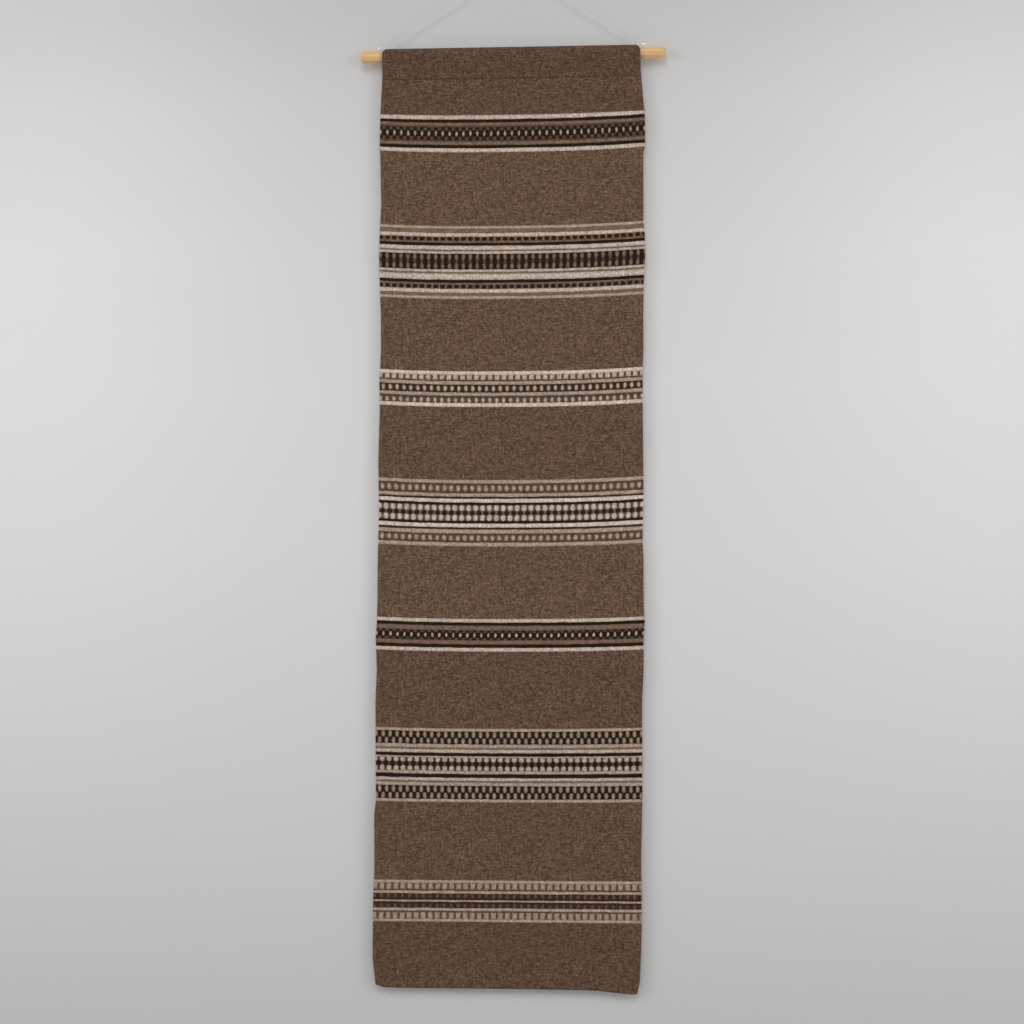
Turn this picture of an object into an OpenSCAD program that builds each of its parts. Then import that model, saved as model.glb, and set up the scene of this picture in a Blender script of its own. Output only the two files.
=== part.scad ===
// Wall hanging: a handwoven cloth with seven patterned bands, carried by a round
// dowel in a sleeve along its top edge, on a thin cord that goes up to one nail.
// Millimetres, +Z up. The origin is the cord's seat on the nail. X runs along the
// dowel, the front of the cloth faces -Y and the wall is on the +Y side.

/* [Hanging cord] */
// Height of the nail seat above the dowel's axis
rod_drop = 134; // [110:1:180]
// Thickness of the cord
cord_d = 1; // [0.8:0.1:1.2]
// Length of the knot above each loop
knot_l = 5; // [4:0.5:5.5]
// Thickness of the knot above each loop
knot_d = 3.4; // [2.6:0.2:3.8]

/* [Dowel] */
// Diameter of the dowel
dowel_d = 16; // [10:0.5:22]
// Length of the dowel
dowel_l = 445; // [420:1:600]
// How far the dowel's middle lies to the right of the nail
dowel_shift = -1.5; // [-10:0.5:10]
// Rounding of the dowel's two ends
dowel_round = 4; // [0.5:0.5:6]

/* [Cloth] */
// Width of the woven ground
cloth_w = 382; // [300:1:390]
// Thickness of the woven ground
cloth_t = 3.2; // [2:0.1:4]
// How far the cloth's middle lies to the right of the nail at the top
cloth_shift = -4; // [-10:0.5:10]
// How much further to the left the hem hangs than the top
hem_lean = 7; // [0:0.5:12]
// How far a patterned band stands out beyond the ground at each side edge
band_out = 1.2; // [0:0.1:2]
// Extra thickness of a patterned band, front and back together
band_extra = 0.6; // [0:0.1:1]

/* [Sleeve] */
// Width of the sleeve, drawn in a little at the top
sleeve_w = 377; // [300:1:385]
// Depth of the stitch line below the dowel's axis
sleeve_drop = 31.5; // [26:0.5:45]
// Cloth turned under below the stitch line, at the back
turn_under = 9; // [6:0.5:14]
// Rounding of the sleeve's two upper corners
sleeve_round = 7; // [3:0.5:10]

/* [Heights of the plain fields, top to bottom] */
// First field, from the stitch line to the first band
field_1_h = 56; // [30:0.5:200]
// Second field
field_2_h = 108; // [60:0.5:200]
// Third field
field_3_h = 105; // [60:0.5:200]
// Fourth field
field_4_h = 105.5; // [60:0.5:200]
// Fifth field
field_5_h = 104; // [60:0.5:200]
// Sixth field
field_6_h = 110; // [60:0.5:200]
// Seventh field
field_7_h = 110.5; // [60:0.5:200]
// Last field, down to the bottom edge
field_8_h = 94; // [40:0.5:200]

/* [Heights of the patterned bands, top to bottom] */
// First band
band_1_h = 56; // [30:0.5:130]
// Second band
band_2_h = 107; // [30:0.5:130]
// Third band
band_3_h = 52; // [30:0.5:130]
// Fourth band
band_4_h = 96; // [30:0.5:130]
// Fifth band
band_5_h = 47; // [30:0.5:130]
// Sixth band
band_6_h = 105; // [30:0.5:130]
// Seventh band
band_7_h = 59; // [30:0.5:130]

/* [Hem] */
// Height of the hem turned up at the back
hem_h = 26; // [15:0.5:35]
// Thickness of the turned-up hem
hem_t = 2.8; // [2:0.1:4]

/* [Threads] */
// Distance between the groups of warp ends
warp_pitch = 10; // [8:0.5:20]
// Thickness of one group of warp ends
warp_d = 1; // [0.6:0.1:1.4]
// Length of one stitch
stitch_l = 5; // [3:0.5:8]
// Thickness of the sewing thread
stitch_d = 0.8; // [0.5:0.1:1.2]

/* [Hidden] */

// Yarn, wood and cord colours
ground_colour = "#5E4C3F";
band_colour = "#8A7766";
warp_colour = "#B9AB98";
thread_colour = "#3E2F25";
wood_colour = "#D4B281";
cord_colour = "#E6E6E2";

// Clearance of the dowel in the sleeve and in the two loops
rod_play = 0.05;
dowel_r = dowel_d / 2;
rod_z = -rod_drop;
bore_r = dowel_r + rod_play;
sleeve_r = bore_r + cloth_t;

// Where the loops stand on the dowel: just outside the sleeve's two ends
loop_gap = 3;
left_x = cloth_shift - sleeve_w / 2 - loop_gap;
right_x = cloth_shift + sleeve_w / 2 + loop_gap;
loop_r = bore_r + cord_d / 2;
// The knots stand this far above the dowel's axis, clear of the sleeve
knot_rise = sleeve_r + 1.4;
knot_z = rod_z + knot_rise;

// Heights along the cloth, all below the nail
fields = [field_1_h, field_2_h, field_3_h, field_4_h, field_5_h, field_6_h, field_7_h, field_8_h];
bands = [band_1_h, band_2_h, band_3_h, band_4_h, band_5_h, band_6_h, band_7_h];
seam_z = rod_z - sleeve_drop;
function sum_to(list, n) = n <= 0 ? 0 : list[n - 1] + sum_to(list, n - 1);
function field_top(k) = seam_z - sum_to(fields, k - 1) - sum_to(bands, k - 1);
function field_bottom(k) = field_top(k) - fields[k - 1];
function field_middle(k) = (field_top(k) + field_bottom(k)) / 2;
function band_top(k) = field_bottom(k);
function band_bottom(k) = band_top(k) - bands[k - 1];
hem_z = field_bottom(8);

// The cloth hangs a little askew: the middle of the cloth at a height
function middle_x(z) = cloth_shift - hem_lean * (seam_z - z) / (seam_z - hem_z);

// At a fold line the upper cloth ends in a round edge on the fold's axis, and the
// lower cloth starts this far below it, so it can fold by 120 degrees either way
fold_gap = 3.2;

// The cord's route from the left knot over the nail to the right knot: two straight
// legs, and a bend round a nail of 5 mm at the top. X and Z, at the stock sizes.
cord_sides = 8;
ring_spacing = 7;
stock_left = 193;
stock_right = 185;
stock_drop = 121.35;
stock_route = [
    [-193, -121.35], [-160, -100.5], [-120, -75.1], [-80, -49.7], [-40, -24.3], [-20, -11.6],
    [-8, -4], [-1.6, 0], [-0.8, 0.4], [0, 0.5], [0.8, 0.4], [1.7, 0], [8, -4.2],
    [20, -12.1], [40, -25.4], [80, -51.9], [120, -78.4], [150, -98.2], [185, -121.35]
];
// The route follows the knots when the sizes change
left_end = left_x + knot_l / 2;
right_end = right_x - knot_l / 2;
function fitted(p) = [
    p[0] * (p[0] < 0 ? -left_end / stock_left : right_end / stock_right), 0,
    p[1] > 0 ? p[1] : -p[1] * knot_z / stock_drop
];
function between(a, b, share) = a + (b - a) * share;
corners = [for (p = stock_route) fitted(p)];
cord_route = [
    for (i = [0:len(corners) - 2])
        let (pieces = ceil(norm(corners[i + 1] - corners[i]) / ring_spacing))
        for (j = [0:pieces - 1]) between(corners[i], corners[i + 1], j / pieces),
    corners[len(corners) - 1]
];

// A round tube along a route that stays in the XZ plane
module tube(route, radius, sides) {
    last = len(route) - 1;
    function along(i) =
        let (step = route[min(i + 1, last)] - route[max(i - 1, 0)]) step / norm(step);
    rings = [for (i = [0:last]) let (t = along(i), up = [-t[2], 0, t[0]])
        for (j = [0:sides - 1]) route[i] + radius * (cos(360 * j / sides) * up
            + sin(360 * j / sides) * [0, 1, 0])];
    walls = [for (i = [0:last - 1], j = [0:sides - 1])
        let (a = i * sides + j, b = i * sides + (j + 1) % sides) [a, a + sides, b + sides, b]];
    start_cap = [[for (j = [0:sides - 1]) j]];
    end_cap = [[for (j = [sides - 1:-1:0]) last * sides + j]];
    polyhedron(points = rings, faces = concat(walls, start_cap, end_cap));
}

module hanging_cord() {
    color(cord_colour) tube(cord_route, cord_d / 2, cord_sides);
}

// A loop of the cord: round the dowel, and up on both sides in straight strands that
// end side by side in its knot
module cord_loop(x) {
    beside = 0.6 * cord_d;
    leaves_at = atan(beside / knot_rise) + acos(loop_r / norm([beside, knot_rise]));
    arc_steps = 26;
    arc = [for (i = [0:arc_steps]) let (a = leaves_at + i * (360 - 2 * leaves_at) / arc_steps)
        loop_r * [sin(a), 0, cos(a)]];
    color(cord_colour) translate([x, 0, rod_z]) rotate([0, 0, 90])
        tube(concat([[beside, 0, knot_rise]], arc, [[-beside, 0, knot_rise]]),
            cord_d / 2, cord_sides);
}

// The knot that closes a loop, lying along the dowel at the top of the loop
module cord_knot(x) {
    barrel = knot_l - knot_d;
    color(cord_colour) translate([x, 0, knot_z]) rotate([0, 90, 0]) {
        cylinder(d = knot_d, h = barrel, center = true, $fn = 32);
        for (side = [-1, 1]) translate([0, 0, side * barrel / 2]) sphere(d = knot_d, $fn = 32);
    }
}

module dowel() {
    flat_r = dowel_r - dowel_round;
    straight = dowel_l - 2 * dowel_round;
    color(wood_colour) translate([dowel_shift - dowel_l / 2, 0, rod_z]) rotate([0, 90, 0])
        rotate_extrude($fn = 96) {
            square([flat_r, dowel_l]);
            translate([0, dowel_round]) square([dowel_r, straight]);
            for (end = [dowel_round, dowel_l - dowel_round])
                translate([flat_r, end]) circle(r = dowel_round, $fn = 32);
        }
}

// Round a circle at the origin and closing on two points either side of x = 0 below it
module teardrop(radius, half_foot, depth) {
    foot = [half_foot, -depth];
    touch_angle = atan2(foot[1], foot[0]) + acos(radius / norm(foot));
    touch = radius * [cos(touch_angle), sin(touch_angle)];
    circle(r = radius, $fn = 96);
    polygon([[-touch[0], touch[1]], [-foot[0], foot[1]], foot, touch, [0, radius / 2]]);
}

// What the sleeve's outline is, seen from the front
module sleeve_outline() {
    top = rod_z + sleeve_r;
    left = cloth_shift - sleeve_w / 2;
    translate([left, seam_z - 1]) square([sleeve_w, top - sleeve_round - seam_z + 1]);
    translate([left + sleeve_round, seam_z]) square([sleeve_w - 2 * sleeve_round, top + 1 - seam_z]);
    for (x = [left + sleeve_round, left + sleeve_w - sleeve_round])
        translate([x, top - sleeve_round]) circle(r = sleeve_round, $fn = 48);
}

// The cloth turned over the dowel and stitched together below it
module sleeve() {
    // The pocket closes this far above the stitch line
    pocket_end = 3;
    color(ground_colour) intersection() {
        translate([cloth_shift - sleeve_w / 2, 0, rod_z]) rotate([90, 0, 90])
            linear_extrude(height = sleeve_w) difference() {
                teardrop(sleeve_r, cloth_t, sleeve_drop);
                teardrop(bore_r, 0.2, sleeve_drop - pocket_end);
            }
        rotate([90, 0, 0]) linear_extrude(height = 4 * sleeve_r, center = true) sleeve_outline();
    }
}

// A flat stretch of cloth between two heights
module stretch_of_cloth(top, bottom, width, thickness) {
    rotate([90, 0, 0]) linear_extrude(height = thickness, center = true) polygon([
        [middle_x(top) - width / 2, top], [middle_x(bottom) - width / 2, bottom],
        [middle_x(bottom) + width / 2, bottom], [middle_x(top) + width / 2, top]
    ]);
}

module field(top, bottom) {
    color(ground_colour) stretch_of_cloth(top, bottom, cloth_w, cloth_t);
}

// The half of a field above its fold line, with a round edge on the fold's axis
module field_upper(k) {
    fold = field_middle(k);
    color(ground_colour) {
        stretch_of_cloth(field_top(k), fold, cloth_w, cloth_t);
        translate([middle_x(fold), 0, fold]) rotate([0, 90, 0])
            cylinder(d = cloth_t, h = cloth_w, center = true, $fn = 32);
    }
}

// The half of a field below its fold line
module field_lower(k) {
    field(field_middle(k) - fold_gap, field_bottom(k));
}

module band(k) {
    color(band_colour) stretch_of_cloth(
        band_top(k), band_bottom(k), cloth_w + 2 * band_out, cloth_t + band_extra);
}

// The warp inside one panel of cloth, drawn as one thread for each group of ends
module warp(k) {
    inset = 0.5;
    top = (k == 1 ? seam_z : field_middle(k) - fold_gap) - inset;
    bottom = (k == 7 ? hem_z : field_middle(k + 1)) + inset;
    last = floor((cloth_w / 2 - warp_pitch / 2) / warp_pitch);
    lean = atan2(middle_x(top) - middle_x(bottom), top - bottom);
    color(warp_colour) for (i = [-last:last])
        translate([middle_x(bottom) + i * warp_pitch, 0, bottom]) rotate([0, lean, 0])
            cylinder(d = warp_d, h = (top - bottom) / cos(lean), $fn = 16);
}

// The end of the cloth that is turned under at the back, below the stitch line
module sleeve_turn_under() {
    color(ground_colour) translate([cloth_shift - sleeve_w / 2, cloth_t / 2, seam_z - turn_under])
        cube([sleeve_w, cloth_t, turn_under]);
}

// The hem turned up at the back
module hem_fold() {
    inset = 1;
    width = cloth_w - 2 * inset;
    color(ground_colour) translate([0, (cloth_t + hem_t) / 2, 0])
        stretch_of_cloth(hem_z + hem_h, hem_z, width, hem_t);
}

// A row of stitches along X, half sunk in the face at a depth y
module stitch_row(z, y, pitch, first, count) {
    core = stitch_l - stitch_d;
    for (i = [0:count - 1]) translate([first + i * pitch, y, z]) rotate([0, 90, 0]) {
        cylinder(d = stitch_d, h = core, center = true, $fn = 16);
        for (side = [-1, 1]) translate([0, 0, side * core / 2]) sphere(d = stitch_d, $fn = 16);
    }
}

// Running stitches along the sleeve: on the front, and between them at the back
module sleeve_stitches() {
    pitch = 2 * stitch_l + 2;
    count = floor((sleeve_w - 4 * stitch_l) / pitch);
    first = cloth_shift - (count - 1) * pitch / 2;
    line_z = seam_z - turn_under / 3;
    color(thread_colour) {
        stitch_row(line_z, -cloth_t / 2, pitch, first, count);
        stitch_row(line_z, 1.5 * cloth_t, pitch, first + pitch / 2, count - 1);
    }
}

// Stitches along the upper edge of the hem, at the back
module hem_stitches() {
    pitch = 2 * stitch_l + 2;
    count = floor((cloth_w - 4 * stitch_l) / pitch);
    line_z = hem_z + hem_h - 2;
    color(thread_colour) stitch_row(line_z, cloth_t / 2 + hem_t, pitch,
        middle_x(line_z) - (count - 1) * pitch / 2, count);
}

dowel();
hanging_cord();
cord_loop(left_x);  // cord_loop_left
cord_loop(right_x);  // cord_loop_right
cord_knot(left_x);  // cord_knot_left
cord_knot(right_x);  // cord_knot_right
sleeve();
sleeve_turn_under();
sleeve_stitches();
field(field_top(1), field_bottom(1));  // field_1
field(field_top(8), field_bottom(8));  // field_8
for (k = [2:7]) {
    field_upper(k);
    field_lower(k);
}
for (k = [1:7]) {
    band(k);
    warp(k);
}
hem_fold();
hem_stitches();
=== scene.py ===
import math

import bpy
import numpy as np
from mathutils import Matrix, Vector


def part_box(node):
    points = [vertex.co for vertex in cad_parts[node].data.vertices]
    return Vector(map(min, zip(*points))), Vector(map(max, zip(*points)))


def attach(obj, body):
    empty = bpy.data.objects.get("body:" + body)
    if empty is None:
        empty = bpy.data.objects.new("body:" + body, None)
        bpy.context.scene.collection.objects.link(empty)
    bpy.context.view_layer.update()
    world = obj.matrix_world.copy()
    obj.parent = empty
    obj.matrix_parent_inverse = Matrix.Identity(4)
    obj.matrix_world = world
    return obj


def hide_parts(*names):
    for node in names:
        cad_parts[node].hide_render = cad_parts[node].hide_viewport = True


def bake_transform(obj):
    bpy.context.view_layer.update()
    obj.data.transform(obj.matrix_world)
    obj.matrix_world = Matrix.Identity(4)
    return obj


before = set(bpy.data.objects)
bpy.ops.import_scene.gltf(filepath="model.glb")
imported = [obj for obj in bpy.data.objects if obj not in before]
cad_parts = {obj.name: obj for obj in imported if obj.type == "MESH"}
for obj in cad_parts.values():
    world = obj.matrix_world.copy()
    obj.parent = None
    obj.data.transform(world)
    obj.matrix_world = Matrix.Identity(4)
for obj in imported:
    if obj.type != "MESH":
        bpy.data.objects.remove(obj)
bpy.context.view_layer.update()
scene = bpy.context.scene
scene.view_settings.view_transform = "Standard"


# ---- Camera -------------------------------------------------------------------------------
# A long lens a little to the right of the hanging and a little below its middle, tipped up a
# little, so the cloth fills the height of the frame.
camera = bpy.data.objects.new("camera", bpy.data.cameras.new("camera"))
scene.collection.objects.link(camera)
camera.data.sensor_width = 36
camera.data.lens = 73.24
aim, distance = (-0.0025, 0.0, -0.8012), 3.0
round_by, tip_by = math.radians(3.7), math.radians(3.1)
camera.location = (
    aim[0] + distance * math.sin(round_by) * math.cos(tip_by),
    aim[1] - distance * math.cos(round_by) * math.cos(tip_by),
    aim[2] - distance * math.sin(tip_by),
)
camera.rotation_euler = (math.radians(90) + tip_by, 0, round_by)
scene.camera = camera


# ---- Hanging cord -------------------------------------------------------------------------
# One piece of clear monofilament nylon, 1 mm thick and about 0.45 m long, running from the
# knot on the dowel's left end over the nail to the knot on its right end, drawn taut by the
# weight of the cloth.


def from_hex(code):
    parts = [int(code[i : i + 2], 16) / 255 for i in (1, 3, 5)]
    return tuple(p / 12.92 if p <= 0.04045 else ((p + 0.055) / 1.055) ** 2.4 for p in parts) + (1,)


def add(tree, kind, inputs=(), **settings):
    """A node with its settings, and each input given as a value or as the socket it comes from."""
    made = tree.nodes.new(kind)
    for key, value in settings.items():
        setattr(made, key, value)
    for key, value in dict(inputs).items():
        if isinstance(value, bpy.types.NodeSocket):
            tree.links.new(value, made.inputs[key])
        else:
            made.inputs[key].default_value = value
    return made


def new_material(name):
    made = bpy.data.materials.new(name)
    made.use_nodes = True
    tree = made.node_tree
    return made, tree, tree.nodes["Principled BSDF"]


# Drawn nylon monofilament: clear but slightly milky, smooth and shiny, with faint ridges
# left by the die along its length.
nylon, tree, skin = new_material("drawn_nylon_monofilament")
where = add(tree, "ShaderNodeTexCoord").outputs["Object"]
haze = add(tree, "ShaderNodeTexNoise", {"Vector": where, "Scale": 260.0, "Detail": 2.0})
milky = add(tree, "ShaderNodeMix", {"Factor": haze.outputs["Fac"],
    "A": from_hex("#ECECE8"), "B": from_hex("#C8C9C6")}, data_type="RGBA")
die = add(tree, "ShaderNodeBump", {"Height": haze.outputs["Fac"], "Distance": 0.00005,
    "Strength": 0.3})
tree.links.new(milky.outputs["Result"], skin.inputs["Base Color"])
tree.links.new(die.outputs["Normal"], skin.inputs["Normal"])
skin.inputs["IOR"].default_value = 1.53
skin.inputs["Roughness"].default_value = 0.22
skin.inputs["Transmission Weight"].default_value = 0.35
# Where it is knotted, its many bent surfaces look white
knotted = nylon.copy()
knotted.name = "nylon_drawn_into_a_knot"
white = knotted.node_tree.nodes["Principled BSDF"]
knotted.node_tree.links.remove(white.inputs["Base Color"].links[0])
white.inputs["Base Color"].default_value = from_hex("#FBFBFA")
white.inputs["Transmission Weight"].default_value = 0.0

cord_thick = 0.001
cord_route = [
    (-0.193, -0.12135), (-0.16, -0.1005), (-0.12, -0.0751), (-0.08, -0.0497), (-0.04, -0.0243),
    (-0.02, -0.0116), (-0.008, -0.004), (-0.0016, 0), (-0.0008, 0.0004), (0, 0.0005),
    (0.0008, 0.0004), (0.0017, 0), (0.008, -0.0042), (0.02, -0.0121), (0.04, -0.0254),
    (0.08, -0.0519), (0.12, -0.0784), (0.15, -0.0982), (0.185, -0.12135),
]
line = bpy.data.curves.new("hanging_cord_line", "CURVE")
line.dimensions = "3D"
line.bevel_depth = cord_thick / 2
line.bevel_resolution = 3
line.use_fill_caps = True
spline = line.splines.new("POLY")
spline.points.add(len(cord_route) - 1)
for point, (x, z) in zip(spline.points, cord_route):
    point.co = (x, 0, z, 1)
line.materials.append(nylon)
cord = bpy.data.objects.new("cord_over_nail", line)
scene.collection.objects.link(cord)
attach(cord, "hanger")
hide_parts("hanging_cord")


# ---- Knots and loops of the cord ----------------------------------------------------------
# Each end of the cord goes round the dowel beside the sleeve and is tied back on itself in
# an overhand knot that lies on top of the loop, with a short tail.
knot_turns, tail_points = 56, 6
for side in ("left", "right"):
    low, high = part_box(f"cord_knot_{side}")
    middle, outward = (low + high) / 2, -1 if side == "left" else 1
    path = bpy.data.curves.new(f"knot_{side}", "CURVE")
    path.dimensions = "3D"
    path.bevel_depth = cord_thick / 2
    path.bevel_resolution = 2
    path.use_fill_caps = True
    spline = path.splines.new("POLY")
    spline.points.add(knot_turns + tail_points)
    for i, point in enumerate(spline.points):
        turned = 2 * math.pi * min(i, knot_turns) / knot_turns
        out = 0.0005 * (2 + math.cos(3 * turned))
        tail = max(0, i - knot_turns) / tail_points
        point.co = (
            middle.x + outward * (1.28 * out * math.cos(2 * turned) + 0.0024 * tail),
            middle.y + 0.8 * out * math.sin(2 * turned),
            middle.z + 0.0011 * math.sin(3 * turned) + 0.0012 * tail,
            1,
        )
    shape = bpy.data.objects.new(f"knot_{side}_line", path)
    scene.collection.objects.link(shape)
    mesh = bpy.data.meshes.new_from_object(
        shape.evaluated_get(bpy.context.evaluated_depsgraph_get()))
    bpy.data.objects.remove(shape)
    mesh.materials.clear()
    mesh.materials.append(knotted)
    mesh.shade_smooth()
    knot = bpy.data.objects.new(f"overhand_knot_{side}", mesh)
    scene.collection.objects.link(knot)
    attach(knot, "hanger")
    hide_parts(f"cord_knot_{side}")
    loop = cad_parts[f"cord_loop_{side}"]
    for slot in loop.material_slots:
        slot.material = nylon


# ---- Dowel --------------------------------------------------------------------------------
# A 16 mm pine dowel, turned and sanded, unvarnished, with its edges eased. It slides into
# the sleeve and stands out on both sides.

# Sanded pine: straight grain along the rod with narrow darker late wood, a dull satin
# surface, and paler, rougher end grain.
pine, tree, skin = new_material("sanded_pine")
where = add(tree, "ShaderNodeTexCoord").outputs["Object"]
along = add(tree, "ShaderNodeMapping", {"Vector": where, "Scale": (6.0, 420.0, 420.0)})
rings = add(tree, "ShaderNodeTexNoise", {"Vector": along.outputs["Vector"], "Scale": 1.0,
    "Detail": 5.0, "Roughness": 0.6})
pores = add(tree, "ShaderNodeMapping", {"Vector": where, "Scale": (60.0, 1600.0, 1600.0)})
fine = add(tree, "ShaderNodeTexNoise", {"Vector": pores.outputs["Vector"], "Scale": 1.0,
    "Detail": 3.0})
late = add(tree, "ShaderNodeMapRange", {"Value": rings.outputs["Fac"], "From Min": 0.35,
    "From Max": 0.68})
wood = add(tree, "ShaderNodeMix", {"Factor": late.outputs["Result"], "A": from_hex("#E6C087"),
    "B": from_hex("#C8995C")}, data_type="RGBA")
speck = add(tree, "ShaderNodeMapRange", {"Value": fine.outputs["Fac"], "To Min": 0.86,
    "To Max": 1.1})
shade = add(tree, "ShaderNodeVectorMath", {0: wood.outputs["Result"],
    1: speck.outputs["Result"]}, operation="MULTIPLY")
grain = add(tree, "ShaderNodeBump", {"Height": fine.outputs["Fac"], "Distance": 0.00015,
    "Strength": 0.4})
tree.links.new(shade.outputs["Vector"], skin.inputs["Base Color"])
tree.links.new(grain.outputs["Normal"], skin.inputs["Normal"])
skin.inputs["Roughness"].default_value = 0.62
skin.inputs["IOR"].default_value = 1.5
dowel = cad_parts["dowel"]
for slot in dowel.material_slots:
    slot.material = pine


# ---- Ground cloth: how it is woven --------------------------------------------------------
# Thick handspun sheep's wool in its natural brown, weft-faced: the weft hides a cotton warp
# set 2.5 mm apart, and shows as rows of small beads that lie like bricks. One weaver's
# sheet makes the sleeve, the eight plain fields, the seven patterned bands and the hem.
# Below, u runs in millimetres from the left selvedge and v down the cloth.

cloth_wide = 0.382
cloth_half = 0.0016
rib = 0.00125
row_step = 0.0011
seam_z, hem_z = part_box("field_1")[1].z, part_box("field_8")[0].z

# How far each selvedge stands outside a straight edge as the weaver drew the weft tight or
# left it slack, in millimetres: height below the nail, left edge, right edge.
selvedge = [
    (115, -3, -4), (165, -2.5, -2), (212, -0.5, 2), (222, 0, 3.5), (275, 0.5, 4.5),
    (285, -0.5, 1.5), (357, -2.5, 2), (386, -1, 2), (404, -0.5, 4), (435, 0, 5), (478, -1.5, 2.5),
    (521, -3.5, 2), (568, -4, 2.5), (596, -3, 1.5), (615, -2, 1.5), (661, -3, 1.5),
    (733, -1.5, 2.5), (777, -2.5, 3), (801, -3, 2.5), (850, -2.5, 1.5), (870, -2, 3),
    (939, -2, 3.5), (962, -1.5, 5), (985, 0, 3.5), (1031, -2, 3.5), (1077, -0.5, 1.5),
    (1169, -1.5, 2), (1215, -2.5, 2), (1237, 0, 1.5), (1306, -1, 0.5), (1330, -0.5, 1.5),
    (1351, 0.5, 1.5), (1397, 0.5, 1.5), (1442, 0.5, 0), (1464, -2, -1), (1481, -4, -4.5),
]
# The beaten rows bow: their ends stand this much higher than their middle.
bow = [(150, 0), (249, 5), (439, 5), (623, 5), (803, 5), (978, 3.5), (1165, 2), (1357, 0),
    (1500, 0)]
# The hem hangs in a slight wave: drop in millimetres against u.
hem_wave = [(0, -5), (12, -1.5), (60, -1), (230, -1), (300, -0.5), (324, 0.2), (340, 1.8),
    (359, 3.6), (377, 4.9), (382, 4.5)]


def from_table(table, column, where):
    rows = np.array(table, float)
    return np.interp(where, rows[:, 0], rows[:, column])


def cloth_point(u, z):
    """Where a point of the flat cloth hangs: x and z in metres for u in metres from the left
    selvedge and the height z that its row has in the middle of the cloth."""
    down = -1000 * z
    lean = -0.004 - 0.007 * (seam_z - z) / (seam_z - hem_z)
    left = lean - cloth_wide / 2 - from_table(selvedge, 1, down) / 1000
    right = lean + cloth_wide / 2 + from_table(selvedge, 2, down) / 1000
    x = left + (right - left) * u / cloth_wide
    out = np.abs(2 * u / cloth_wide - 1) ** 2.5
    low = np.clip((down - 1386) / 80, 0, 1) * from_table(hem_wave, 1, 1000 * u) / 1000
    return x, z + out * from_table(bow, 1, down) / 1000 - low


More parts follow.
